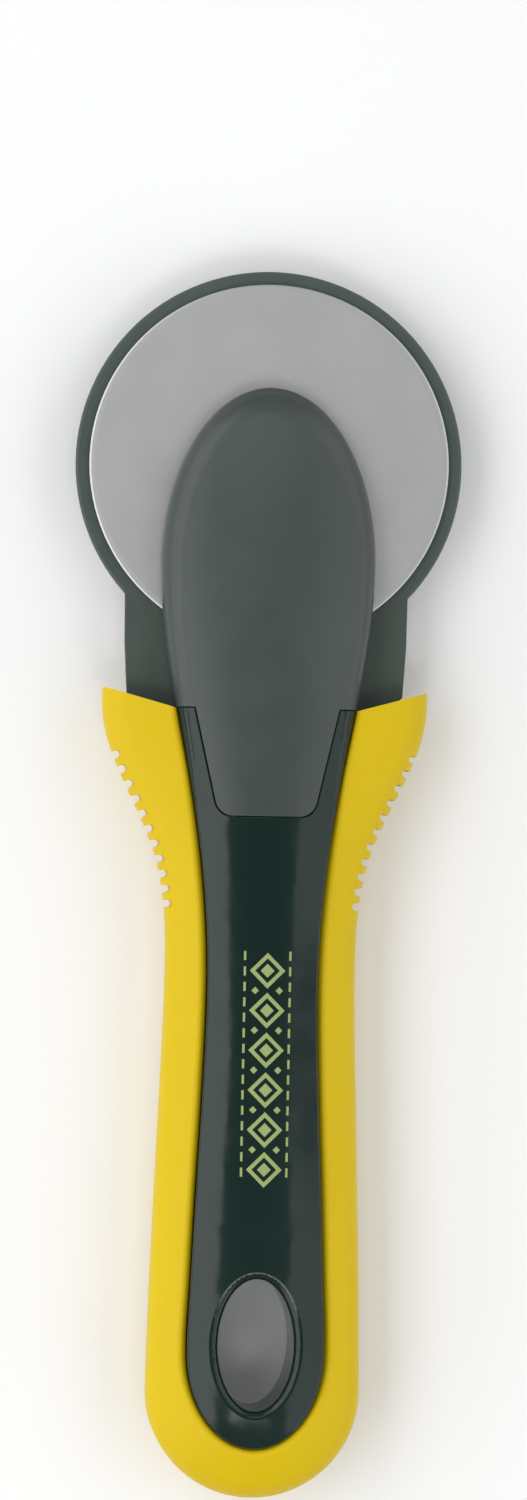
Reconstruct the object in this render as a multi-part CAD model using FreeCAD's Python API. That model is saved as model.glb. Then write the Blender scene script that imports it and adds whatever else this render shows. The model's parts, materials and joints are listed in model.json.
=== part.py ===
"""Rotary cutter with a 60 mm blade and a sprung blade guard, lying on its back.

Frame: +Y runs along the handle towards the blade, +Z is up out of the front face, and the
cutter rests on z = 0. The origin is under the middle of the whole cutter. Millimetres.
"""

import FreeCAD
import Part

import math
import os

from FreeCAD import Vector

# ---- driving dimensions -------------------------------------------------------------------

BLADE_R = 30.0                  # standard 60 mm blade
BLADE_BORE_R = 4.05             # standard 8 mm bore, running on the bush
BLADE_BEVELS = [(1.0, 0.175), (0.28, 0.13), (0.0, 0.03)]    # in from the rim, half thickness
GUARD_R = 32.25                 # the guard stands 2.25 mm outside the blade
GUARD_TRAVEL = 5.5              # how far the guard is pushed back in use
TAIL_FROM_AXLE = 171.75         # blade axis to the handle's end
LENGTH = GUARD_R + TAIL_FROM_AXLE
AXLE_Y = LENGTH / 2 - GUARD_R   # the blade's axis in the row frame
PART_Z = 9.5                    # the plane where the front and back halves meet

TAIL_R = 17.75                  # round end of the handle
TAIL_AT = TAIL_FROM_AXLE - TAIL_R
SKIN = 2.2                      # soft grip over the hard core
WALL = 2.2                      # hard core
GAP = 0.15                      # clearance round screws and small bosses
GRIP_GAP = 0.05                 # between the soft grip's openings and the strips in them
SEAM_GAP = 0.06                 # each side of the head cover's seam on the handle
SEW = 1e-4                      # tolerance the stretched ends are healed to

# Distance from the blade's axis, then half width there.
BODY_WIDTHS = [(34, 27.3), (41, 27.0), (48, 25.6), (57, 21.4), (66, 17.7), (75, 16.1),
               (86, 15.8), (104, 16.3), (130, 17.2), (TAIL_AT, TAIL_R)]
SPINE_WIDTHS = [(17, 17.8), (27, 17.2), (41, 14.9), (53, 12.45), (65, 10.55), (77, 9.4),
                (88, 9.1), (103, 9.5), (124, 10.45), (147.5, 11.3)]
BACK_SPINE_WIDTHS = [(52, 11.7), (58, 11.5)] + SPINE_WIDTHS[4:]
BACK_SPINE_REACH = 9.0
BACK_SPINE_EDGE = 8.7
BACK_SPINE_TOP = 11.0           # cut flat at z = 0, where the cutter lies
BACK_SPINE_ROUND = 1.1
SPINE_HEAD_REACH = 29.6         # length of the spine's half-ellipse end over the blade
SPINE_TAIL_REACH = 15.7         # and of the one round the hanging hole
SPINE_HEAD_AT = SPINE_WIDTHS[0][0]
SPINE_TAIL_AT = SPINE_WIDTHS[-1][0]
SPINE_FRONT_HEIGHTS = [(17, 9.4), (41, 10.2), (75, 10.9), (147.5, 10.9)]
SPINE_FRONT_EDGES = [(17, 6.6), (41, 7.4), (75, 9.15), (100, 9.1), (147.5, 8.8)]
SPINE_FRONT_ROUNDS = [(17, 4.2), (41, 3.0), (60, 0.6), (147.5, 0.6)]
BODY_HEIGHTS = [(34, 7.6), (57, 8.8), (75, 9.8), (TAIL_AT, 9.9)]
BACK_LOWER = 0.9                # the back half is this much flatter
BODY_EDGES = [(34, 4.2), (57, 4.0), (75, 3.6), (TAIL_AT, 4.2)]
BODY_ROUND = 5.0                # rounding between the handle's sides and its faces

SHOULDER_OUT = 37.65            # top edge of the wings at their outer corners
SHOULDER_IN = 41.28             # and where it passes under the spine's edge
SHOULDER_OUT_X = 27.0
SHOULDER_IN_X = 14.0

NOTCHES = 11
NOTCH_FIRST = 49.0
NOTCH_PITCH = 2.45
NOTCH_R = 0.62
NOTCH_DEPTH = 1.35
TOOTH_R = 0.45                  # rounding of the teeth between the notches
TOOTH_OUT = 0.05                # the rounding's centre line is this far outside the teeth
SEAM_R = 0.15                   # rounding of the hard mouldings' edges along their seams
COVER_LIP_R = 0.4               # rounding of the head cover's rim
GRIP_LIP_R = 1.0                # and of the soft grip's openings
PARTING = 0.15                  # chamfer along the line where the grip's halves meet
GRIP_LIP_ABOVE = 6.5            # only the opening's outer edges lie wholly above this height

HOLE_X = 6.3                    # hanging hole, half width and half length
HOLE_Y = 10.9
HOLE_AT = 146.0
HOLE_ROUND = 1.2                # rounding of the hole's rim on both faces

# Heights along the axle, measured from the parting plane.
ARM_Z = 1.3                     # underside of the arm and rim of the head cover
ARM_TOP = 4.8
ARM_TO = 43.0                   # the arm runs this far into the handle
ARM_CLEAR = 0.6                 # between the arm and the cover round it
FLANGE_Z = (0.70, ARM_Z)
BLADE_Z = (0.30, 0.65)
RETAINER_Z = (-0.10, 0.25)
GUARD_Z = (-2.1, -0.3)
SEAT_Z = -2.35                  # rear end of the bush
FLAT_WASHER_Z = (-2.75, SEAT_Z)
SPRING_WASHER_Z = (-3.45, -2.75)
KNOB_Z = (-8.4, -3.5)
STUD_Z = (-6.8, 5.3)
STUD_HEAD = 12.0                # square head, held in the arm
STUD_HEAD_Z = 2.9               # underside of the head
STUD_R = 3.0
BUSH_R = 4.0
BUSH_FLANGE_R = 7.0
SLOT_R = 4.3
RETAINER_R = 8.0
FLAT_WASHER_R = 9.0
SPRING_WASHER_R = (3.4, 7.5)    # a cone, the inner edge standing further out
SPRING_WASHER_THICK = 0.4
KNOB_R = 11.0
KNOB_RIM = 1.7                  # thickness of the knob's rim
KNOB_HUB_R = 6.6
KNOB_HUB_IN = 1.2               # the hub ends this far short of the bar's face
KNOB_BAR = (3.2, 9.6)           # the finger bar, half width and half length
KNOB_BAR_END_R = 9.8
SCALLOPS = 12                   # round the knob's rim
SCALLOP_R = 1.7
SCALLOP_AT = 12.1               # their centres, from the axis
INSERT_R = 4.6
INSERT_BORE_R = 3.05
INSERT_IN = 1.6                 # the insert ends this far short of the bar's face

COVER_WALL = 1.6
TONGUE_TOP_X = 12.0             # the cover's tongue, half width at its root and its tip
TONGUE_TIP_X = 7.9
TONGUE_FROM = 40.9
TONGUE_TO = 58.8
TONGUE_R = 3.0

# Half outline of the guard's neck below its disc, (x, distance), down to the stem.
NECK = [(23.6, 20.0), (23.5, 30.0), (23.0, 38.5), (17.0, 43.5), (17.0, 45.0), (4.6, 47.0)]
GUARD_RIM = (2.2, 0.5)          # raised ring on the guard's back, in from its edge
RIB_X = 17.4                    # stiffening ribs beside the neck
RIB_WIDE = 1.7
RIB_DEEP = 1.0
RIB_FROM = 24.6
RIB_TO = 33.0
STEM_X = 4.6
TAB_AT = (82.5, 84.3)           # the stem's upturned end, which pushes the spring
TAB_TOP = 5.1
CLEAR = 0.3
SPRING_Z = 1.9                  # axis of the return spring and its guide pin
SPRING_R = 2.6                  # to the middle of the wire
SPRING_WIRE_R = 0.35
SPRING_TURNS = 9
SPRING_END_GAP = 0.02           # between the spring's ends and what they press on
POST_AT = (106.0, 108.6)
PIN_R = 1.6
PIN_FROM = 78.0

CAVITY = (61.0, 131.0)          # the hollow inside the handle
CHANNEL_X = 6.0                 # deeper channel down the front half of the hollow
CHANNEL_TOP = 8.2
TROUGH_X = 5.6                  # and down the back half, under the lock bar and past it
TROUGH_FLOOR = -7.3
POST_X = 4.2
LOCK_AT = 77.0                  # middle of the lock button when it is off
LOCK_TRAVEL = 5.0
BUTTON_HALF = (4.6, 5.6)
BUTTON_FACE = -9.3
GROOVES = 5                     # across the button's face
GROOVE_PITCH = 1.6
GROOVE_HALF = (3.0, 0.35)
GROOVE_DEEP = 0.4
DISH_FLOOR = -7.6
LOCK_FLOOR = -6.0
LOCK_BAR_HALF = 8.0
LOCK_BAR_LONG = 14.0
LOCK_NOSE = 2.0                 # length of the bar's raised end
LOCK_BAR_X = 4.2
LOCK_BAR_TOP = -4.4
LOCK_LEG = (1.3, 1.6)           # half width and half length of the button's leg
SCREWS = [(7.6, 57.5), (-7.6, 57.5), (0.0, 112.6), (0.0, 127.0)]
SCREW_R = 1.25
SCREW_HEAD_R = 2.3
BOSS_R = 2.9
SCREW_SEAT = -6.0
SCREW_HEAD = 1.6
SCREW_TOP = 5.0
SCREW_CROSS = (0.3, 1.3)        # half width and half length of the cross in each head
COVER_SCREWS = [(3.6, 49.5), (-3.6, 49.5)]
COVER_HEAD_R = 2.2
COVER_HEAD = 1.4
COVER_SEAT = 4.6
COVER_SCREW_TOP = 8.9
COVER_POST_R = 2.4              # the cover's posts that these screws hold
COVER_POST_Z = 6.15


# ---- helpers ------------------------------------------------------------------------------

def down(distance):
    """Row Y of a place that far from the blade's axis, towards the handle's end."""
    return AXLE_Y - distance


def smooth(stations, at):
    """A smooth curve through (distance, value) stations, held level past both ends."""
    if at <= stations[0][0]:
        return stations[0][1]
    if at >= stations[-1][0]:
        return stations[-1][1]
    i = max(k for k in range(len(stations) - 1) if stations[k][0] <= at)
    (x1, y1), (x2, y2) = stations[i], stations[i + 1]
    x0, y0 = stations[i - 1] if i else (2 * x1 - x2, y1)
    x3, y3 = stations[i + 2] if i + 2 < len(stations) else (2 * x2 - x1, y2)
    slope1 = (y2 - y0) / (x2 - x0)
    slope2 = (y3 - y1) / (x3 - x1)
    t = (at - x1) / (x2 - x1)
    width = x2 - x1
    return ((2 * t**3 - 3 * t**2 + 1) * y1 + (t**3 - 2 * t**2 + t) * width * slope1
            + (3 * t**2 - 2 * t**3) * y2 + (t**3 - t**2) * width * slope2)


def box(x0, x1, y0, y1, z0, z1):
    low = Vector(min(x0, x1), min(y0, y1), min(z0, z1))
    return Part.makeBox(abs(x1 - x0), abs(y1 - y0), abs(z1 - z0), low)


def disc(radius, z0, z1, x=0.0, y=AXLE_Y):
    """An upright cylinder between two heights above the parting plane."""
    low = min(z0, z1)
    return Part.makeCylinder(radius, abs(z1 - z0), Vector(x, y, PART_Z + low))


def slab(points, z0, z1):
    """A straight-sided outline of (x, distance) points, extruded between two heights."""
    corners = [Vector(x, down(d), PART_Z + z0) for x, d in points]
    face = Part.Face(Part.makePolygon(corners + corners[:1]))
    return face.extrude(Vector(0, 0, z1 - z0))


def middle_of(edge):
    first, last = edge.ParameterRange
    return edge.valueAt((first + last) / 2)


def match_edges(shape, wanted):
    """The edges of shape that run through the middles of edges taken from an earlier state."""
    middles = [Part.Vertex(middle_of(e)) for e in wanted]
    return [e for e in shape.Edges if any(e.distToShape(m)[0] < 1e-3 for m in middles)]


def rounded(shape, radius, edges):
    """The shape with those edges rounded, healed only where the rounding leaves it invalid."""
    shape = shape.makeFillet(radius, edges)
    if not shape.isValid():
        shape.fix(SEW, SEW, SEW)
    return shape


def section_points(half, base, edge, top, radius):
    """Corners of half an arch: foot, end of the wall, middle and end of the rounding, crown."""
    rise = max(top - edge, 1e-3)
    big = (half**2 + rise**2) / (2 * rise)
    centre_z = top - big
    round_x = half - radius
    round_z = centre_z + math.sqrt((big - radius)**2 - round_x**2)
    lean = math.atan2(round_z - centre_z, round_x)
    end = (big * math.cos(lean), centre_z + big * math.sin(lean))
    middle = (round_x + radius * math.cos(lean / 2), round_z + radius * math.sin(lean / 2))
    return (half, base), (half, round_z), middle, end, (0.0, top)


def arch_wire(at, half, base, edge, top, radius, sign=1):
    """A closed arch across the handle: flat foot, upright walls, rounded edges and a crown."""
    foot, wall, middle, end, crown = section_points(half, base, edge, top, radius)

    def place(point, side):
        return Vector(side * point[0], down(at), PART_Z + sign * point[1])

    edges = [
        Part.makeLine(place(foot, -1), place(foot, 1)),
        Part.makeLine(place(foot, 1), place(wall, 1)),
        Part.Arc(place(wall, 1), place(middle, 1), place(end, 1)).toShape(),
        Part.Arc(place(end, 1), place(crown, 1), place(end, -1)).toShape(),
        Part.Arc(place(end, -1), place(middle, -1), place(wall, -1)).toShape(),
        Part.makeLine(place(wall, -1), place(foot, -1)),
    ]
    return Part.Wire(edges)


def round_end(at, reach, half, base, edge, top, radius, sign=1, towards=-1):
    """The same arch swept half a turn about its middle, stretched to reach that far."""
    foot, wall, middle, end, crown = section_points(half, base, edge, top, radius)

    def place(x, z):
        return Vector(x, 0, sign * z)

    rise = max(top - edge, 1e-3)
    big = (half**2 + rise**2) / (2 * rise)
    mid_x = end[0] / 2
    mid_z = top - big + math.sqrt(big**2 - mid_x**2)
    edges = [
        Part.makeLine(place(0, base), place(*foot)),
        Part.makeLine(place(*foot), place(*wall)),
        Part.Arc(place(*wall), place(*middle), place(*end)).toShape(),
        Part.Arc(place(*end), place(mid_x, mid_z), place(*crown)).toShape(),
        Part.makeLine(place(*crown), place(0, base)),
    ]
    half_face = Part.Face(Part.Wire(edges))
    solid = half_face.revolve(Vector(0, 0, 0), Vector(0, 0, 1), 180 * towards)
    matrix = FreeCAD.Matrix()
    matrix.scale(1, reach / half, 1)
    solid = solid.transformGeometry(matrix)
    solid.fix(SEW, SEW, SEW)
    solid.translate(Vector(0, down(at), PART_Z))
    return solid


def steps(first, last, count):
    return [first + (last - first) * i / (count - 1) for i in range(count)]


def arch_loft(stations, shape_at):
    """A loft through arches, shape_at(distance) giving arch_wire's arguments."""
    return Part.makeLoft([arch_wire(d, **shape_at(d)) for d in stations], True, False)


def ring(points):
    """A solid of revolution about the axle from (radius, height) points."""
    corners = [Vector(r, 0, z) for r, z in points]
    face = Part.Face(Part.makePolygon(corners + corners[:1]))
    solid = face.revolve(Vector(0, 0, 0), Vector(0, 0, 1), 360)
    solid.translate(Vector(0, AXLE_Y, PART_Z))
    return solid


# ---- the handle's main forms --------------------------------------------------------------

def body_solid(inset=0.0, sign=1, foot=0.0):
    """One half of the handle's outer form, or of a smaller one inside it."""
    def shape_at(d):
        lower = 0.0 if sign > 0 else BACK_LOWER
        radius = max(BODY_ROUND - inset, 0.8)
        return {
            "half": smooth(BODY_WIDTHS, d) - inset,
            "base": foot,
            "edge": smooth(BODY_EDGES, d) - inset * 0.6,
            "top": smooth(BODY_HEIGHTS, d) - lower - inset,
            "radius": radius,
            "sign": sign,
        }

    stations = steps(BODY_WIDTHS[0][0], 76, 8) + steps(84, TAIL_AT, 7)
    straight = arch_loft(stations, shape_at)
    end = shape_at(TAIL_AT)
    return straight.fuse(round_end(TAIL_AT, end["half"], **end))


def spine_shape(d, inset=0.0, foot=ARM_Z):
    return {
        "half": smooth(SPINE_WIDTHS, d) - inset,
        "base": foot,
        "edge": smooth(SPINE_FRONT_EDGES, d) - inset,
        "top": smooth(SPINE_FRONT_HEIGHTS, d) - inset,
        "radius": max(smooth(SPINE_FRONT_ROUNDS, d) - inset / 2, 0.5),
    }


def spine_head(inset=0.0, foot=ARM_Z):
    """The oval over the blade, as far as the shoulders and a little beyond them."""
    stations = steps(SPINE_HEAD_AT, 62, 10)
    straight = arch_loft(stations, lambda d: spine_shape(d, inset, foot))
    end = spine_shape(SPINE_HEAD_AT, inset, foot)
    return straight.fuse(round_end(SPINE_HEAD_AT, SPINE_HEAD_REACH - inset, towards=1, **end))


def spine_tail(inset=0.0, foot=ARM_Z, lift=0.0):
    """The glossy strip down the front of the handle, from above the shoulders to its end."""
    def shape_at(d):
        shape = spine_shape(d, inset, foot)
        shape["top"] += lift
        shape["edge"] += lift
        return shape

    stations = steps(35, 83, 9) + steps(90, SPINE_TAIL_AT, 7)
    straight = arch_loft(stations, shape_at)
    end = shape_at(SPINE_TAIL_AT)
    return straight.fuse(round_end(SPINE_TAIL_AT, SPINE_TAIL_REACH - inset, **end))


# ---- shared cutting tools -----------------------------------------------------------------

def above_shoulders():
    """Everything past the handle's sloping top edge."""
    slope = (SHOULDER_IN - SHOULDER_OUT) / (SHOULDER_OUT_X - SHOULDER_IN_X)
    far = 40.0
    corner = SHOULDER_OUT - slope * (far - SHOULDER_OUT_X)
    right = [(far, 0.0), (far, corner), (SHOULDER_IN_X, SHOULDER_IN)]
    return slab(right + [(-x, d) for x, d in reversed(right)], -15, 15)


def cover_outline(grow):
    """Plan of the head cover: the whole spine to the step, then the narrowing tongue."""
    step = TONGUE_FROM + grow
    right = [(30.0, -30.0), (30.0, step), (TONGUE_TOP_X + grow, step),
             (TONGUE_TIP_X + grow, TONGUE_TO + grow)]
    prism = slab(right + [(-x, d) for x, d in reversed(right)], 0, 20)
    tips = [e for e in prism.Edges
            if abs(e.Vertexes[0].Y - down(TONGUE_TO + grow)) < 1e-6
            and abs(e.Vertexes[0].X - e.Vertexes[-1].X) < 1e-6
            and abs(e.Vertexes[0].Z - e.Vertexes[-1].Z) > 1]
    return prism.makeFillet(TONGUE_R, tips)


def notch():
    """An upright slot with a round root and a flared mouth, its mouth on x = 0."""
    root = NOTCH_R - NOTCH_DEPTH
    centre_x = TOOTH_OUT - TOOTH_R
    wide = NOTCH_R + TOOTH_R
    bow = TOOTH_R * math.sqrt(0.5)

    def at(x, y):
        return Vector(x, y, -12)

    edges = [Part.makeLine(at(TOOTH_OUT, -wide), at(1, -wide)),
             Part.makeLine(at(1, -wide), at(1, wide)),
             Part.makeLine(at(1, wide), at(TOOTH_OUT, wide)),
             Part.Arc(at(TOOTH_OUT, wide), at(centre_x + bow, wide - bow),
                      at(centre_x, NOTCH_R)).toShape(),
             Part.makeLine(at(centre_x, NOTCH_R), at(root, NOTCH_R)),
             Part.Arc(at(root, NOTCH_R), at(root - NOTCH_R, 0), at(root, -NOTCH_R)).toShape(),
             Part.makeLine(at(root, -NOTCH_R), at(centre_x, -NOTCH_R)),
             Part.Arc(at(centre_x, -NOTCH_R), at(centre_x + bow, bow - wide),
                      at(TOOTH_OUT, -wide)).toShape()]
    return Part.Face(Part.Wire(edges)).extrude(Vector(0, 0, 24))


def notches():
    """Notches across the wings' edges, square to the outline."""
    tools = []
    for i in range(NOTCHES):
        d = NOTCH_FIRST + NOTCH_PITCH * i
        x = smooth(BODY_WIDTHS, d)
        lean = math.atan2(smooth(BODY_WIDTHS, d + 0.5) - smooth(BODY_WIDTHS, d - 0.5), 1.0)
        for side in (1, -1):
            slot = notch()
            slot.rotate(Vector(0, 0, 0), Vector(0, 0, 1), math.degrees(lean))
            if side < 0:
                slot = slot.mirror(Vector(0, 0, 0), Vector(1, 0, 0))
            slot.translate(Vector(side * x, down(d), PART_Z))
            tools.append(slot)
    return Part.Compound(tools)


def hanging_hole():
    curve = Part.Ellipse(Vector(0, down(HOLE_AT), 0), HOLE_Y, HOLE_X)
    curve.XAxis = Vector(0, 1, 0)
    return Part.Face(Part.Wire(curve.toShape())).extrude(Vector(0, 0, 2 * PART_Z + 4))


def hole_rim(shape, sign):
    """The edges where the hanging hole leaves the front (1) or the back (-1)."""
    found = []
    for e in shape.Edges:
        b = e.BoundBox
        beside = b.XMax < HOLE_X + 0.05 and b.XMin > -HOLE_X - 0.05
        along = b.YMax < down(HOLE_AT - HOLE_Y) + 0.05 and b.YMin > down(HOLE_AT + HOLE_Y) - 0.05
        outside = b.ZMin > PART_Z + 8 if sign > 0 else b.ZMax < PART_Z - 8
        if beside and along and outside:
            found.append(e)
    return found


def obround(half_x, half_y, at, z0, z1):
    """An upright slot shape with round ends, longer along the handle."""
    straight = half_y - half_x
    shapes = [disc(half_x, z0, z1, 0.0, down(at - straight)),
              disc(half_x, z0, z1, 0.0, down(at + straight)),
              box(-half_x, half_x, down(at - straight), down(at + straight),
                  PART_Z + z0, PART_Z + z1)]
    return shapes[0].fuse(shapes[1:]).removeSplitter()


def handle_box(x, d0, d1, z0, z1):
    """A box across the handle's middle, x being its half width."""
    return box(-x, x, down(d0), down(d1), PART_Z + z0, PART_Z + z1)


def handle_pin(radius, d0, d1):
    """A cylinder along the guard spring's axis."""
    start = Vector(0, down(d1), PART_Z + SPRING_Z)
    return Part.makeCylinder(radius, d1 - d0, start, Vector(0, 1, 0))


# ---- handle -------------------------------------------------------------------------------

def front_core():
    shell = body_solid(SKIN).cut(above_shoulders())
    strip = spine_tail()
    recess = cover_outline(SEAM_GAP).cut(spine_tail(COVER_WALL + GAP, 0.0))
    strip = strip.cut(recess)
    arm_inset = COVER_WALL + ARM_CLEAR
    arm = spine_head(arm_inset).common(handle_box(30, -30, ARM_TO, ARM_Z, ARM_TOP))
    core = shell.fuse([strip, arm])
    hollow = body_solid(SKIN + WALL, 1, -0.5).common(handle_box(30, *CAVITY, -1, 9))
    hollow = hollow.fuse(handle_box(CHANNEL_X, CAVITY[0] + WALL, CAVITY[1], -1, CHANNEL_TOP))
    core = core.cut(hollow)
    pillars = [disc(BOSS_R, 0, CHANNEL_TOP + 0.4, x, down(d)) for x, d in SCREWS
               if d > CAVITY[0]]
    core = core.fuse(pillars)
    head = STUD_HEAD / 2
    holes = [hanging_hole(), disc(STUD_R, 0, STUD_Z[1]),
             handle_box(head, -head, head, STUD_HEAD_Z, ARM_TOP + 3)]
    holes += [disc(SCREW_R, -1, SCREW_TOP + 0.2, x, down(d)) for x, d in SCREWS]
    for x, d in COVER_SCREWS:
        holes += [disc(COVER_HEAD_R + CLEAR, -1, COVER_SEAT, x, down(d)),
                  disc(SCREW_R + GAP, COVER_SEAT - 1, COVER_POST_Z + 1, x, down(d)),
                  disc(COVER_POST_R + GAP, COVER_POST_Z - GAP, 10, x, down(d))]
    for hole in holes:
        core = core.cut(hole)
    core = rounded(core, HOLE_ROUND, hole_rim(core, 1))
    skin = spine_tail().Shells[0]
    seam = [e for e in core.Edges
            if min(v.Z for v in e.Vertexes) > PART_Z + 8
            and min(v.Y for v in e.Vertexes) > down(TONGUE_TO + 1)
            and Part.Vertex(middle_of(e)).distToShape(skin)[0] < 0.01]
    return rounded(core, SEAM_R, seam)


def back_strip(shape_at, grow):
    """A strip down the back with both ends rounded, for the spine and for its opening."""
    first, last = BACK_SPINE_WIDTHS[0][0], SPINE_TAIL_AT
    straight = arch_loft(steps(first, 83, 6) + steps(90, last, 7), shape_at)
    return straight.fuse([round_end(last, SPINE_TAIL_REACH + grow, **shape_at(last)),
                          round_end(first, BACK_SPINE_REACH + grow, towards=1,
                                    **shape_at(first))])


def back_spine():
    """The flat-faced strip on the back, on which the cutter lies."""
    def shape_at(d):
        return {"half": smooth(BACK_SPINE_WIDTHS, d), "base": 1.0, "edge": BACK_SPINE_EDGE,
                "top": BACK_SPINE_TOP, "radius": BACK_SPINE_ROUND, "sign": -1}

    return back_strip(shape_at, 0.0).common(handle_box(30, 0, LENGTH, -PART_Z, 0))


def back_spine_opening():
    def shape_at(d):
        return {"half": smooth(BACK_SPINE_WIDTHS, d) + GRIP_GAP, "base": -0.5, "edge": 13.0,
                "top": 15.0, "radius": 0.6, "sign": -1}

    return back_strip(shape_at, GRIP_GAP)


def guard_pocket():
    """Room for the guard's neck over its whole travel, open at the shoulders."""
    reach = GUARD_TRAVEL + CLEAR
    right = [(NECK[0][0] + CLEAR, 20.0), (NECK[0][0] + CLEAR, SHOULDER_OUT + 1.5)]
    right += [(x + CLEAR, d + reach) for x, d in NECK[2:]]
    right.append((STEM_X + CLEAR, CAVITY[0] + 1))
    return slab(right + [(-x, d) for x, d in reversed(right)], GUARD_Z[0] - CLEAR, 1)


def back_core():
    shell = body_solid(SKIN, -1).cut(above_shoulders())
    core = shell.fuse(back_spine())
    hollow = body_solid(SKIN + WALL, -1, -0.5).common(handle_box(30, *CAVITY, -9, 1))
    trough = LOCK_AT + LOCK_BAR_HALF + 7
    hollow = hollow.fuse([handle_box(TROUGH_X, CAVITY[0] + 3, trough, LOCK_FLOOR, 1),
                          handle_box(TROUGH_X, trough, CAVITY[1], TROUGH_FLOOR, 1)])
    core = core.cut(hollow)
    foot = TROUGH_FLOOR - 0.3
    pillars = [disc(BOSS_R, foot, 0, x, down(d)) for x, d in SCREWS if d > CAVITY[0]]
    post = handle_box(POST_X, *POST_AT, foot, TAB_TOP)
    core = core.fuse(pillars + [post])
    middle = LOCK_AT - LOCK_TRAVEL / 2
    dish = (BUTTON_HALF[0] + 0.4, BUTTON_HALF[1] + LOCK_TRAVEL / 2 + 0.5)
    leg = (LOCK_LEG[0] + CLEAR, LOCK_LEG[1] + LOCK_TRAVEL / 2 + 1.4)
    holes = [guard_pocket(), hanging_hole(), handle_pin(PIN_R, *POST_AT),
             obround(*dish, middle, -12, DISH_FLOOR), obround(*leg, middle, -9, -5)]
    holes += [disc(SCREW_R + GAP, -9, 1, x, down(d)) for x, d in SCREWS]
    holes += [disc(SCREW_HEAD_R + GAP, -12, SCREW_SEAT, x, down(d)) for x, d in SCREWS]
    for hole in holes:
        core = core.cut(hole)
    return rounded(core, HOLE_ROUND, hole_rim(core, -1))


def grip(sign):
    skin = body_solid(0, sign).cut(body_solid(SKIN, sign, -1.0))
    skin = skin.cut(above_shoulders())
    if sign > 0:
        opening = spine_tail(-GRIP_GAP, 0.0, 6.0)
    else:
        opening = back_spine_opening()
    skin = skin.cut(opening)
    outside = body_solid(0, sign).Shells[0]
    parting = [e for e in skin.Edges
               if max(abs(v.Z - PART_Z) for v in e.Vertexes) < 1e-6
               and Part.Vertex(middle_of(e)).distToShape(outside)[0] < 0.01
               and max(v.Y for v in e.Vertexes) - min(v.Y for v in e.Vertexes) > 10]
    lips = [e for e in skin.Edges
            if min(abs(v.Z - PART_Z) for v in e.Vertexes) > GRIP_LIP_ABOVE]
    skin = rounded(skin, GRIP_LIP_R, lips)
    skin = skin.makeChamfer(PARTING, match_edges(skin, parting))
    return skin.cut(notches())


def head_cover():
    form = spine_head()
    cover = form.common(cover_outline(-SEAM_GAP)).cut(spine_head(COVER_WALL, 0.0))
    skin = form.Shells[0]
    seam = [e for e in cover.Edges
            if max(v.Y for v in e.Vertexes) < down(TONGUE_FROM - 2 * SEAM_GAP)
            and min(v.Z for v in e.Vertexes) > PART_Z + ARM_Z
            and Part.Vertex(middle_of(e)).distToShape(skin)[0] < 0.01]
    rim = [e for e in cover.Edges
           if e.BoundBox.ZMax < PART_Z + ARM_Z + 0.01
           and max(abs(v.X) for v in e.Vertexes) > SPINE_WIDTHS[0][1] - 0.1
           and e.Length > 20]
    cover = rounded(cover, SEAM_R, seam)
    cover = rounded(cover, COVER_LIP_R, match_edges(cover, rim))
    posts = [disc(COVER_POST_R, COVER_POST_Z, 9.0, x, down(d)) for x, d in COVER_SCREWS]
    cover = cover.fuse(posts)
    for x, d in COVER_SCREWS:
        cover = cover.cut(disc(SCREW_R, COVER_POST_Z - 1, COVER_SCREW_TOP + 0.3, x, down(d)))
    return cover


# ---- blade and axle -----------------------------------------------------------------------

def rotary_blade():
    low, high = BLADE_Z
    middle = (low + high) / 2
    upper = [(BLADE_R - inward, middle + half) for inward, half in BLADE_BEVELS]
    lower = [(BLADE_R - inward, middle - half) for inward, half in reversed(BLADE_BEVELS)]
    return ring([(BLADE_BORE_R, low), (BLADE_BORE_R, high)] + upper + lower)


def axle_stud():
    head = STUD_HEAD / 2
    square = handle_box(head, -head, head, STUD_HEAD_Z, STUD_Z[1])
    shank = disc(STUD_R, STUD_Z[0], STUD_HEAD_Z + 1)
    tip = max((e for e in shank.Edges if len(e.Vertexes) == 1), key=lambda e: -e.BoundBox.ZMin)
    return square.fuse(shank.makeChamfer(0.5, [tip])).removeSplitter()


def blade_bush():
    return ring([(STUD_R, SEAT_Z), (BUSH_R, SEAT_Z), (BUSH_R, FLANGE_Z[0]),
                 (BUSH_FLANGE_R, FLANGE_Z[0]), (BUSH_FLANGE_R, FLANGE_Z[1]),
                 (STUD_R, FLANGE_Z[1])])


def washer(inner, outer, heights):
    return disc(outer, *heights).cut(disc(inner, heights[0] - 1, heights[1] + 1))


def spring_washer():
    low, high = SPRING_WASHER_Z
    inner, outer = SPRING_WASHER_R
    return ring([(inner, low), (inner, low + SPRING_WASHER_THICK), (outer, high),
                 (outer, high - SPRING_WASHER_THICK)])


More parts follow.
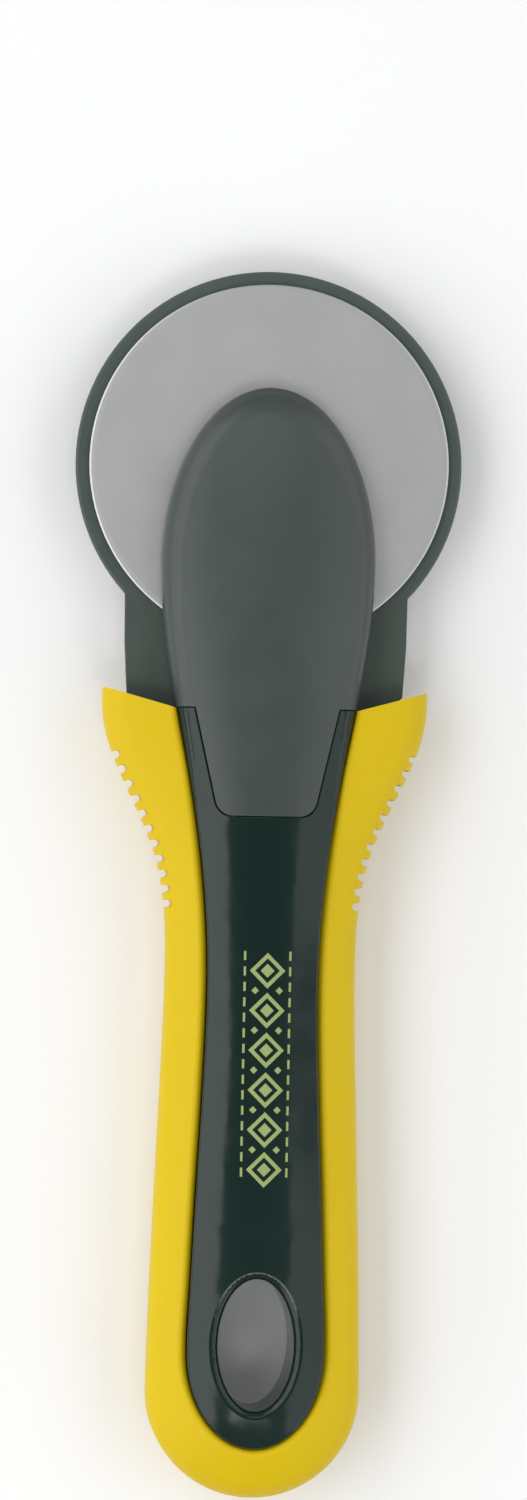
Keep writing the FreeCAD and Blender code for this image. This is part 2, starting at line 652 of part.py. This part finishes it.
def axle_knob():
    low, high = KNOB_Z
    rim = disc(KNOB_R, high - KNOB_RIM, high)
    hub = disc(KNOB_HUB_R, low + KNOB_HUB_IN, high)
    wide, long = KNOB_BAR
    bar = handle_box(wide, -long, long, low, high).common(disc(KNOB_BAR_END_R, low, high))
    uprights = [e for e in bar.Edges if abs(e.BoundBox.ZLength - (high - low)) < 1e-4]
    bar = bar.makeFillet(1.0, uprights)
    outer_face = [e for e in bar.Edges if e.BoundBox.ZMax < PART_Z + low + 1e-3]
    bar = bar.makeFillet(0.8, outer_face)
    edge = [e for e in rim.Edges if len(e.Vertexes) == 1 and e.BoundBox.ZMax < PART_Z + high - 1]
    knob = rim.makeFillet(0.7, edge).fuse([hub, bar]).removeSplitter()
    scallops = []
    for i in range(SCALLOPS):
        angle = math.radians(360 / SCALLOPS * (i + 0.5))
        x, y = SCALLOP_AT * math.cos(angle), SCALLOP_AT * math.sin(angle)
        scallops.append(disc(SCALLOP_R, low - 1, high + 1, x, AXLE_Y + y))
    knob = knob.cut(Part.Compound(scallops))
    return knob.cut(disc(INSERT_R, low + INSERT_IN, high + 1))


def knob_insert():
    low, high = KNOB_Z
    body = disc(INSERT_R, low + INSERT_IN, high)
    return body.cut(disc(INSERT_BORE_R, low + 1, high + 1))


# ---- guard and its spring -----------------------------------------------------------------

def blade_guard():
    low, high = GUARD_Z
    plate = disc(GUARD_R, low, high)
    rims = [e for e in plate.Edges if len(e.Vertexes) == 1]
    plate = plate.makeChamfer(0.4, rims)
    right = NECK + [(STEM_X, TAB_AT[1])]
    neck = slab(right + [(-x, d) for x, d in reversed(right)], low, high)
    rim = washer(*(GUARD_R - inward for inward in GUARD_RIM), (low - RIB_DEEP, low + 0.5))
    rim = rim.cut(handle_box(RIB_X, 0, 60, low - 3, low + 2))
    ribs = []
    for side in (1, -1):
        across = sorted((side * RIB_X, side * (RIB_X + RIB_WIDE)))
        ribs.append(box(*across, down(RIB_FROM), down(RIB_TO), PART_Z + low - RIB_DEEP,
                        PART_Z + low + 0.5))
    tab = handle_box(STEM_X, *TAB_AT, low, TAB_TOP)
    guard = plate.fuse([neck, rim, tab] + ribs).removeSplitter()
    slot = disc(SLOT_R, low - 1, high + 1).fuse(
        [disc(SLOT_R, low - 1, high + 1, 0.0, AXLE_Y + GUARD_TRAVEL),
         handle_box(SLOT_R, -GUARD_TRAVEL, 0, low - 1, high + 1)])
    return guard.cut(slot).cut(handle_pin(PIN_R + CLEAR, TAB_AT[0] - 1, TAB_AT[1] + 1))


def guard_spring():
    end = SPRING_WIRE_R + SPRING_END_GAP
    length = POST_AT[0] - TAB_AT[1] - 2 * end
    helix = Part.makeHelix(length / SPRING_TURNS, length, SPRING_R)
    start = Vector(SPRING_R, 0, 0)
    profile = Part.Wire(Part.Circle(start, Vector(0, 1, 0), SPRING_WIRE_R).toShape())
    coil = Part.Wire(helix.Edges).makePipeShell([profile], True, True)
    coil.rotate(Vector(0, 0, 0), Vector(1, 0, 0), 90)
    coil.translate(Vector(0, down(TAB_AT[1]) - end, PART_Z + SPRING_Z))
    return coil


# ---- lock and screws ----------------------------------------------------------------------

def lock_button():
    top = obround(*BUTTON_HALF, LOCK_AT, BUTTON_FACE, DISH_FLOOR - 0.1)
    rims = [e for e in top.Edges if e.BoundBox.ZMax < PART_Z + BUTTON_FACE + 0.1]
    top = top.makeFillet(0.5, rims)
    across, along = GROOVE_HALF
    for i in range(GROOVES):
        d = LOCK_AT + GROOVE_PITCH * (i - (GROOVES - 1) / 2)
        top = top.cut(handle_box(across, d - along, d + along, BUTTON_FACE - 1,
                                 BUTTON_FACE + GROOVE_DEEP))
    return top.fuse(lock_leg(DISH_FLOOR - 0.6, LOCK_BAR_TOP))


def lock_leg(z0, z1):
    half, reach = LOCK_LEG
    return handle_box(half, LOCK_AT - reach, LOCK_AT + reach, z0, z1)


def lock_bar():
    low = LOCK_FLOOR + 0.1
    end = LOCK_AT + LOCK_BAR_HALF
    bar = handle_box(LOCK_BAR_X, end - LOCK_BAR_LONG, end, low, LOCK_BAR_TOP)
    nose = handle_box(LOCK_BAR_X, end - LOCK_NOSE, end, low, GUARD_Z[0] - 0.4)
    return bar.fuse(nose).cut(lock_leg(low - 1, LOCK_BAR_TOP + 1))


def lock_leaf():
    """A bent leaf beside the bar that holds it at either end of its travel."""
    thick, near, bow = 0.4, LOCK_BAR_X + 0.2, 0.5
    first, last = LOCK_AT - 11, LOCK_AT + LOCK_BAR_HALF
    bend = LOCK_AT - 2
    points = [(near + bow, first), (near + bow + thick, first), (near + thick, bend),
              (near + bow + thick, last), (near + bow, last), (near, bend)]
    return slab(points, LOCK_BAR_TOP - 1, LOCK_BAR_TOP + 1)


def shell_screws():
    shapes = []
    for x, d in SCREWS:
        head = disc(SCREW_HEAD_R, SCREW_SEAT - SCREW_HEAD, SCREW_SEAT, x, down(d))
        rim = [e for e in head.Edges if e.BoundBox.ZMax < PART_Z + SCREW_SEAT - 1]
        head = head.makeFillet(0.6, rim)
        shank = disc(SCREW_R, SCREW_SEAT - 0.5, SCREW_TOP, x, down(d))
        screw = head.fuse(shank).removeSplitter()
        for wide, long in (SCREW_CROSS, SCREW_CROSS[::-1]):
            y = down(d)
            screw = screw.cut(box(x - wide, x + wide, y - long, y + long,
                                  PART_Z + SCREW_SEAT - 3, PART_Z + SCREW_SEAT - SCREW_HEAD / 2))
        shapes.append(screw)
    return Part.Compound(shapes)


def cover_screws():
    shapes = []
    for x, d in COVER_SCREWS:
        head = disc(COVER_HEAD_R, COVER_SEAT - COVER_HEAD, COVER_SEAT, x, down(d))
        shank = disc(SCREW_R, COVER_SEAT - 0.2, COVER_SCREW_TOP, x, down(d))
        shapes.append(head.fuse(shank).removeSplitter())
    return Part.Compound(shapes)


NODES = {
    "front_core": front_core,
    "back_core": back_core,
    "front_grip": lambda: grip(1),
    "back_grip": lambda: grip(-1),
    "head_cover": head_cover,
    "cover_screws": cover_screws,
    "shell_screws": shell_screws,
    "axle_stud": axle_stud,
    "blade_bush": blade_bush,
    "rotary_blade": rotary_blade,
    "retaining_washer": lambda: washer(BUSH_R, RETAINER_R, RETAINER_Z),
    "flat_washer": lambda: washer(STUD_R + 0.2, FLAT_WASHER_R, FLAT_WASHER_Z),
    "spring_washer": spring_washer,
    "axle_knob": axle_knob,
    "knob_insert": knob_insert,
    "blade_guard": blade_guard,
    "guard_spring": guard_spring,
    "guard_pin": lambda: handle_pin(PIN_R, PIN_FROM, POST_AT[1]),
    "lock_button": lock_button,
    "lock_bar": lock_bar,
    "lock_leaf": lock_leaf,
}

os.makedirs("parts", exist_ok=True)
for name, make in NODES.items():
    shape = make()
    shape.exportStep("parts/" + name + ".step")
    print(name, shape.isValid(), len(shape.Solids), round(shape.Volume, 1))
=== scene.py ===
"""Looks of a rotary cutter lying on its back: surfaces, printed band, spring, light and camera."""

import json
import math

import bpy
from mathutils import Matrix, Vector
from mathutils.bvhtree import BVHTree

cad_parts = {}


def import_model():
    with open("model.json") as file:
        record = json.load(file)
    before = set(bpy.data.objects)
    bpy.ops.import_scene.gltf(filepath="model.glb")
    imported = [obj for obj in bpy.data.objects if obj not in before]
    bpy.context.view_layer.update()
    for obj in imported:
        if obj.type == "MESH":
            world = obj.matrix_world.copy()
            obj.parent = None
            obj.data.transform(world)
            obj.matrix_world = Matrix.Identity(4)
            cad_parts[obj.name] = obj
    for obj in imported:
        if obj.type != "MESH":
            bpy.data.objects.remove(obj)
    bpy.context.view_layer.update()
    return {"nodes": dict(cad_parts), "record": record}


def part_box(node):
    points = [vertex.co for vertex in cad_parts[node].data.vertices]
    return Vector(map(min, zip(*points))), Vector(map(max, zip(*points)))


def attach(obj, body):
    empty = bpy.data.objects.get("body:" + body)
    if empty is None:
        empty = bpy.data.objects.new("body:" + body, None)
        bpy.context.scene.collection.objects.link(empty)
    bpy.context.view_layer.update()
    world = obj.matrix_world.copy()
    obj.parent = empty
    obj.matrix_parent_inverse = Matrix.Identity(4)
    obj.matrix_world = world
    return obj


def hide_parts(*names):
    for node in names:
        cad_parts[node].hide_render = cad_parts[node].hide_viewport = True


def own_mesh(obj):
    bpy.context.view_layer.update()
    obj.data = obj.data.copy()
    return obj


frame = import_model()
nodes = frame["nodes"]

MM = 0.001
blade_low, blade_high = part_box("rotary_blade")
AXLE = (blade_low + blade_high) / 2         # middle of the blade
BLADE_R = (blade_high.x - blade_low.x) / 2


# ---- materials ----------------------------------------------------------------------------

def srgb(red, green, blue):
    """A colour given as 0 to 255 on screen, as the shader wants it."""
    def linear(value):
        value /= 255
        return value / 12.92 if value <= 0.04045 else ((value + 0.055) / 1.055) ** 2.4
    return (linear(red), linear(green), linear(blue), 1.0)


class Surface:
    """One material, with the few kinds of node that its look is made of."""

    def __init__(self, name, **sockets):
        self.material = bpy.data.materials.new(name)
        self.material.use_nodes = True
        self.tree = self.material.node_tree
        self.shader = self.tree.nodes["Principled BSDF"]
        self.place = self.tree.nodes.new("ShaderNodeTexCoord").outputs["Object"]
        for socket, value in sockets.items():
            self.shader.inputs[socket.replace("_", " ")].default_value = value

    def node(self, kind, inputs=(), **settings):
        made = self.tree.nodes.new(kind)
        for key, value in settings.items():
            setattr(made, key, value)
        for key, value in dict(inputs).items():
            if isinstance(value, bpy.types.NodeSocket):
                self.tree.links.new(value, made.inputs[key])
            else:
                made.inputs[key].default_value = value
        return made

    def link(self, socket, value):
        self.tree.links.new(value, self.shader.inputs[socket])

    def noise(self, size, detail=2.0, stretch=(1, 1, 1), place=None):
        """Noise from 0 to 1 whose lumps are about that many metres across, times stretch."""
        scaled = self.node("ShaderNodeVectorMath", operation="MULTIPLY", inputs={
            0: place or self.place, 1: tuple(1 / (size * s) for s in stretch)})
        made = self.node("ShaderNodeTexNoise", inputs={
            "Vector": scaled.outputs[0], "Scale": 1.0, "Detail": detail})
        return made.outputs["Fac"]

    def between(self, amount, low, high, start=0.3, end=0.7):
        """A number that goes from low to high as amount goes from start to end."""
        made = self.node("ShaderNodeMapRange", interpolation_type="SMOOTHSTEP", inputs={
            "Value": amount, "From Min": start, "From Max": end, "To Min": low,
            "To Max": high})
        return made.outputs["Result"]

    def tint(self, amount, low, high):
        """A colour between two, by an amount from 0 to 1."""
        made = self.node("ShaderNodeMix", data_type="RGBA", inputs={0: amount, 6: low, 7: high})
        return made.outputs[2]

    def radius(self):
        """Distance from the axle, seen from above."""
        flat = self.node("ShaderNodeVectorMath", operation="MULTIPLY", inputs={
            0: self.place, 1: (1, 1, 0)})
        gap = self.node("ShaderNodeVectorMath", operation="DISTANCE", inputs={
            0: flat.outputs[0], 1: (AXLE.x, AXLE.y, 0)})
        return gap.outputs["Value"]

    def bump(self, *layers):
        """Bump from (height, depth in metres) layers, each laid on the one before."""
        normal = None
        for height, depth in layers:
            inputs = {"Height": height, "Distance": depth, "Strength": 1.0}
            if normal:
                inputs["Normal"] = normal
            normal = self.node("ShaderNodeBump", inputs=inputs).outputs["Normal"]
        self.link("Normal", normal)


def moulded(name, colour, worn, roughness, grain, peel, ior=1.46):
    """A moulded plastic: faint colour drift, uneven gloss, a fine grain and a slow waviness."""
    surface = Surface(name, IOR=ior)
    drift = surface.noise(14 * MM, stretch=(1, 2.5, 1))
    surface.link("Base Color", surface.tint(surface.between(drift, 0, 1), colour, worn))
    patches = surface.noise(5 * MM, detail=4)
    surface.link("Roughness", surface.between(patches, *roughness))
    surface.bump((surface.noise(0.25 * MM), grain), (surface.noise(7 * MM), peel))
    return surface.material


def steel(name, colour, roughness, line=0.12):
    """Bare or plated steel with fine drawn lines along X."""
    surface = Surface(name, Metallic=1.0)
    lines = surface.noise(line * MM, detail=3, stretch=(14, 1, 1))
    patches = surface.noise(2.5 * MM, detail=3)
    dull = tuple(0.86 * c for c in colour[:3]) + (1.0,)
    surface.link("Base Color", surface.tint(patches, dull, colour))
    surface.link("Roughness", surface.between(lines, *roughness))
    surface.bump((lines, 0.002 * MM))
    return surface.material


def blade_steel():
    """Ground steel with faint circular lapping lines; the narrow sharpened rim is painted lighter,
    a painted highlight for the glint along the edge.
    """
    surface = Surface("blade_steel_look", Metallic=1.0)
    radius = surface.radius()
    rings = surface.node("ShaderNodeCombineXYZ", inputs={"X": radius}).outputs[0]
    lapping = surface.noise(0.09 * MM, detail=4, place=rings)
    clouds = surface.noise(9 * MM, detail=3)
    face = surface.tint(surface.between(clouds, 0, 1), srgb(185, 185, 185), srgb(189, 189, 188))
    shoulder = surface.between(radius, 0, 1, BLADE_R - 1.10 * MM, BLADE_R - 0.95 * MM)
    bevel = surface.tint(shoulder, face, srgb(184, 185, 186))
    # The narrow rim at the very edge is painted a lighter steel: a painted highlight standing in
    # for the bright glint along the sharpened edge.
    honed_rim_painted_glint = surface.between(radius, 0, 1, BLADE_R - 0.34 * MM, BLADE_R - 0.26 * MM)
    surface.link("Base Color", surface.tint(honed_rim_painted_glint, bevel, srgb(192, 193, 194)))
    surface.link("Roughness", surface.between(lapping, 0.46, 0.50))
    surface.bump((lapping, 0.0012 * MM))
    return surface.material


def brass():
    surface = Surface("axle_brass_look", Metallic=1.0)
    rings = surface.node("ShaderNodeCombineXYZ", inputs={"X": surface.radius()}).outputs[0]
    turning = surface.noise(0.12 * MM, detail=3, place=rings)
    tarnish = surface.noise(3 * MM, detail=4)
    surface.link("Base Color", surface.tint(tarnish, srgb(176, 140, 78), srgb(214, 180, 104)))
    surface.link("Roughness", surface.between(turning, 0.22, 0.38))
    surface.bump((turning, 0.004 * MM))
    return surface.material


def soft_grip():
    """Satin soft-touch rubber, its yellow drifting a little at random, its roughness patchy."""
    surface = Surface("yellow_grip_look", IOR=1.31)
    drift = surface.noise(20 * MM, stretch=(1, 3, 1))
    surface.link("Base Color", surface.tint(surface.between(drift, 0, 1),
                                            srgb(213, 182, 0), srgb(216, 186, 0)))
    patches = surface.noise(3 * MM, detail=4)
    surface.link("Roughness", surface.between(patches, 0.44, 0.54))
    surface.bump((surface.noise(0.16 * MM, detail=3), 0.006 * MM),
                 (surface.noise(9 * MM), 0.05 * MM))
    return surface.material


def ink():
    surface = Surface("print_ink_look", IOR=1.45)
    specks = surface.noise(0.4 * MM, detail=3)
    surface.link("Base Color", surface.tint(surface.between(specks, 0, 1),
                                            srgb(146, 161, 98), srgb(153, 168, 106)))
    surface.link("Roughness", surface.between(specks, 0.4, 0.55))
    surface.bump((specks, 0.004 * MM))
    return surface.material


LOOKS = {
    "green_gloss": moulded("green_gloss_look", srgb(18, 37, 33), srgb(21, 40, 36),
                           (0.10, 0.15), 0.0003 * MM, 0.0015 * MM, 1.42),
    # The cover's grey-green is lightened with painted sheen: a veil of reflected light laid into
    # its colour.
    "green_cover": moulded("green_cover_painted_sheen_look", srgb(61, 69, 67), srgb(65, 73, 71),
                           (0.30, 0.36), 0.002 * MM, 0.02 * MM),
    # The guard's green is lightened with painted sheen: a veil of reflected light laid into its
    # colour.
    "guard_plastic": moulded("guard_plastic_painted_sheen_look", srgb(66, 77, 71), srgb(70, 81, 75),
                             (0.36, 0.44), 0.004 * MM, 0.01 * MM),
    "knob_plastic": moulded("knob_plastic_look", srgb(28, 46, 42), srgb(33, 51, 47),
                            (0.28, 0.36), 0.004 * MM, 0.02 * MM),
    "button_plastic": moulded("button_plastic_look", srgb(236, 208, 8), srgb(240, 213, 22),
                              (0.30, 0.38), 0.003 * MM, 0.02 * MM),
    "yellow_grip": soft_grip(),
    "blade_steel": blade_steel(),
    "washer_steel": steel("washer_steel_look", srgb(196, 197, 198), (0.26, 0.38)),
    "screw_steel": steel("screw_steel_look", srgb(190, 192, 196), (0.20, 0.32)),
    "spring_steel": steel("spring_steel_look", srgb(176, 177, 180), (0.18, 0.28), 0.08),
    "axle_brass": brass(),
}

for part in frame["record"]["subparts"]:
    for place in nodes[part["node"]].material_slots:
        place.material = LOOKS[part["material_slot"]]


# ---- pieces -------------------------------------------------------------------------------

def mesh_piece(name, points, faces, material, body="handle"):
    """A piece made here from points and faces, riding on a body."""
    mesh = bpy.data.meshes.new(name)
    mesh.from_pydata(points, [], faces)
    mesh.materials.append(material)
    piece = bpy.data.objects.new(name, mesh)
    bpy.context.scene.collection.objects.link(piece)
    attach(piece, body)
    return piece


def thin_print(rows, closed, top_of, points, faces):
    """Adds a printed shape as a thin closed solid lying on the surface.

    rows are lines of (x, y) points, each as long as the next, and run clockwise seen from
    above; closed joins each line's ends.
    """
    above, below = 0.02 * MM, 0.06 * MM
    first, count, lines = len(points), len(rows[0]), len(rows)
    layer = count * lines
    for lift in (-below, above):
        points.extend((x, y, top_of(x, y) + lift) for row in rows for x, y in row)

    def at(line, i):
        return first + line * count + i % count

    spans = count if closed else count - 1
    for i in range(spans):
        for line in range(lines - 1):
            quad = [at(line, i), at(line, i + 1), at(line + 1, i + 1), at(line + 1, i)]
            faces.append(quad)
            faces.append([q + layer for q in reversed(quad)])
        for line, order in ((0, 1), (lines - 1, -1)):
            side = [at(line, i), at(line, i) + layer, at(line, i + 1) + layer, at(line, i + 1)]
            faces.append(side[::order])
    if not closed:
        for i, order in ((0, -1), (count - 1, 1)):
            for line in range(lines - 1):
                side = [at(line, i), at(line, i) + layer, at(line + 1, i) + layer,
                        at(line + 1, i)]
                faces.append(side[::order])


def square_frame(x, y, half, steps):
    """Once round a square on point, in equal steps along each side."""
    corners = [(0, half), (half, 0), (0, -half), (-half, 0)]
    loop = []
    for i in range(4):
        (x0, y0), (x1, y1) = corners[i], corners[(i + 1) % 4]
        loop += [(x + x0 + (x1 - x0) * k / steps, y + y0 + (y1 - y0) * k / steps)
                 for k in range(steps)]
    return loop


def filled_square(x, y, half, steps):
    """A square on point as rows of points, each row along one slanting side."""
    shares = [i / steps for i in range(steps + 1)]
    return [[(x + half * (a - b), y + half * (a + b - 1)) for b in shares] for a in shares]


def printed_band():
    """A patchwork band down the handle: squares on point between two rows of stitches."""
    middle_x = 0.65 * MM
    first_y, last_y = AXLE.y - 84.2 * MM, AXLE.y - 117.0 * MM
    blocks = 6
    frame_halves = (2.95 * MM, 2.5 * MM, 2.05 * MM)
    heart_half = 1.15 * MM
    dot_x, dot_half = 2.0 * MM, 0.62 * MM
    stitch_x, stitch, gap, stitch_half = 3.75 * MM, 1.5 * MM, 1.05 * MM, 0.19 * MM
    beyond = 3.2 * MM           # the stitches run this far past the end squares' middles
    tree = BVHTree.FromObject(nodes["front_core"], bpy.context.evaluated_depsgraph_get())
    well_above = 0.05
    points, faces = [], []

    def top_of(x, y):
        return tree.ray_cast(Vector((x, y, well_above)), Vector((0, 0, -1)))[0].z

    def draw(rows, closed=False):
        thin_print(rows, closed, top_of, points, faces)

    pitch = (last_y - first_y) / (blocks - 1)
    for i in range(blocks):
        y = first_y + pitch * i
        draw([square_frame(middle_x, y, half, 8) for half in frame_halves], True)
        draw(filled_square(middle_x, y, heart_half, 4))
    for i in range(blocks - 1):
        y = first_y + pitch * (i + 0.5)
        for side in (1, -1):
            draw(filled_square(middle_x + side * dot_x, y, dot_half, 2))
    start = first_y + beyond
    stitches = round((start - last_y + beyond) / (stitch + gap))
    for i in range(stitches):
        y = start - i * (stitch + gap)
        for side in (1, -1):
            x = middle_x + side * stitch_x
            draw([[(x + s * stitch_half, y - stitch * k / 4) for k in range(5)]
                  for s in (1, 0, -1)])
    return mesh_piece("printed_band", points, faces, ink())


def return_spring():
    """The guard's return spring, which the guard squashes as it is pushed: open coils between two
    dead ones, made here at one fixed length.
    """
    low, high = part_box("guard_spring")
    wire = 0.35 * MM
    radius = (high.x - low.x) / 2 - wire
    centre_x, centre_z = (low.x + high.x) / 2, (low.z + high.z) / 2
    length = high.y - low.y - 2 * wire
    dead, turns, per_turn, around = 1.0, 9.0, 40, 12
    total = dead * 2 + turns
    count = round(total * per_turn)
    points, faces = [], []
    for i in range(count + 1):
        turn = total * i / count
        share = min(max(turn - dead, 0.0) / turns, 1.0)
        rise = dead * 2 * wire
        y = low.y + wire + share * (length - 2 * rise)
        y += min(turn, dead) / dead * rise + max(turn - dead - turns, 0.0) / dead * rise
        angle = 2 * math.pi * turn
        out = Vector((math.cos(angle), 0, math.sin(angle)))
        centre = Vector((centre_x, y, centre_z)) + out * radius
        for k in range(around):
            a = 2 * math.pi * k / around
            points.append(centre + out * wire * math.cos(a) + Vector((0, wire * math.sin(a), 0)))
    for i in range(count):
        for k in range(around):
            a, b = i * around + k, i * around + (k + 1) % around
            faces.append([a, b, b + around, a + around])
    faces.append(list(range(around))[::-1])
    faces.append([count * around + k for k in range(around)])
    spring = mesh_piece("return_spring", points, faces, LOOKS["spring_steel"])
    for face in spring.data.polygons:
        face.use_smooth = len(face.vertices) == 4
    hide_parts("guard_spring")
    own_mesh(spring)
    return spring


printed_band()
return_spring()


# ---- floor, light and camera --------------------------------------------------------------

def floor():
    bpy.ops.mesh.primitive_plane_add(size=6.0)
    plane = bpy.context.object
    plane.name = "floor"
    surface = Surface("floor_painted_glow_look", Specular_IOR_Level=0.1)
    surface.link("Base Color", surface.tint(surface.noise(0.3), srgb(240, 240, 240),
                                            srgb(243, 243, 243)))
    surface.shader.inputs["Roughness"].default_value = 0.9
    # The floor glows faintly though it is no lamp: painted light, lifting the shade beside the
    # cutter and down the hanging hole.
    surface.shader.inputs["Emission Color"].default_value = (1.0, 1.0, 1.0, 1.0)
    surface.shader.inputs["Emission Strength"].default_value = 0.03
    plane.data.materials.append(surface.material)


def softbox(name, axis, angle, distance, width, length, radiance, along=0.0):
    """A panel of light facing the cutter, turned that many degrees off the vertical.

    For a panel turned about Y, along slides it towards the head, or the tail if negative.
    """
    data = bpy.data.lights.new(name, "AREA")
    data.shape = "RECTANGLE"
    data.size, data.size_y = width, length
    data.energy = radiance * math.pi * width * length
    light = bpy.data.objects.new(name, data)
    lean = Matrix.Rotation(math.radians(angle), 4, axis)
    light.matrix_world = lean @ Matrix.Translation((0, along, distance))
    light.visible_camera = False
    bpy.context.scene.collection.objects.link(light)


def world(overhead, level):
    """Even studio light, dimmer straight above, where the camera hangs."""
    dim_within = math.cos(math.radians(24))
    made = bpy.data.worlds.new("studio")
    made.use_nodes = True
    tree = made.node_tree
    background = tree.nodes["Background"]
    background.inputs["Color"].default_value = (0.97, 0.99, 1.0, 1.0)
    heading = tree.nodes.new("ShaderNodeSeparateXYZ")
    tree.links.new(tree.nodes.new("ShaderNodeTexCoord").outputs["Generated"], heading.inputs[0])
    fade = tree.nodes.new("ShaderNodeMapRange")
    fade.interpolation_type = "SMOOTHSTEP"
    tree.links.new(heading.outputs["Z"], fade.inputs["Value"])
    for socket, value in (("From Min", dim_within), ("From Max", 1.0),
                          ("To Min", level), ("To Max", overhead)):
        fade.inputs[socket].default_value = value
    tree.links.new(fade.outputs["Result"], background.inputs["Strength"])
    bpy.context.scene.world = made


def camera():
    """Above the cutter and a little to its left, square to its length but for a slight roll."""
    place = Vector((-0.07225, -0.002, 1.150))
    target = Vector((-0.00023, 0.0221, 0.0125))
    frame_height = 0.2492
    lean = math.radians(1.10)
    data = bpy.data.cameras.new("camera")
    data.sensor_width = 36.0
    data.lens = data.sensor_width / 2 / (frame_height / 2 / (target - place).length)
    shot = bpy.data.objects.new("camera", data)
    forward = (target - place).normalized()
    up = (Vector((0, 1, 0)) - forward * forward.y).normalized()
    right = forward.cross(up)
    level_up = up * math.cos(lean) - right * math.sin(lean)
    level_right = right * math.cos(lean) + up * math.sin(lean)
    turn = Matrix((level_right, level_up, -forward)).transposed()
    shot.matrix_world = Matrix.Translation(place) @ turn.to_4x4()
    bpy.context.scene.collection.objects.link(shot)
    bpy.context.scene.camera = shot


floor()
softbox("left_strip", "Y", -36.5, 0.95, 0.50, 2.0, 2.0)
softbox("left_low", "Y", -67, 0.95, 0.40, 2.0, 1.8)
# The steeper light on the right is two panels end to end, with a narrow gap between them.
softbox("right_strip", "Y", 40.5, 0.95, 0.54, 1.0, 1.0, along=0.475)
softbox("right_strip_tail", "Y", 40.5, 0.95, 0.54, 0.9, 1.0, along=-0.52)
softbox("right_low", "Y", 70, 0.95, 0.40, 2.0, 1.2)
softbox("head_end", "X", -25, 1.10, 0.44, 0.24, 1.7)
softbox("tail_end", "X", 23, 1.10, 0.44, 0.24, 4.2)
world(0.14, 0.27)
camera()
bpy.context.scene.view_settings.view_transform = "Standard"
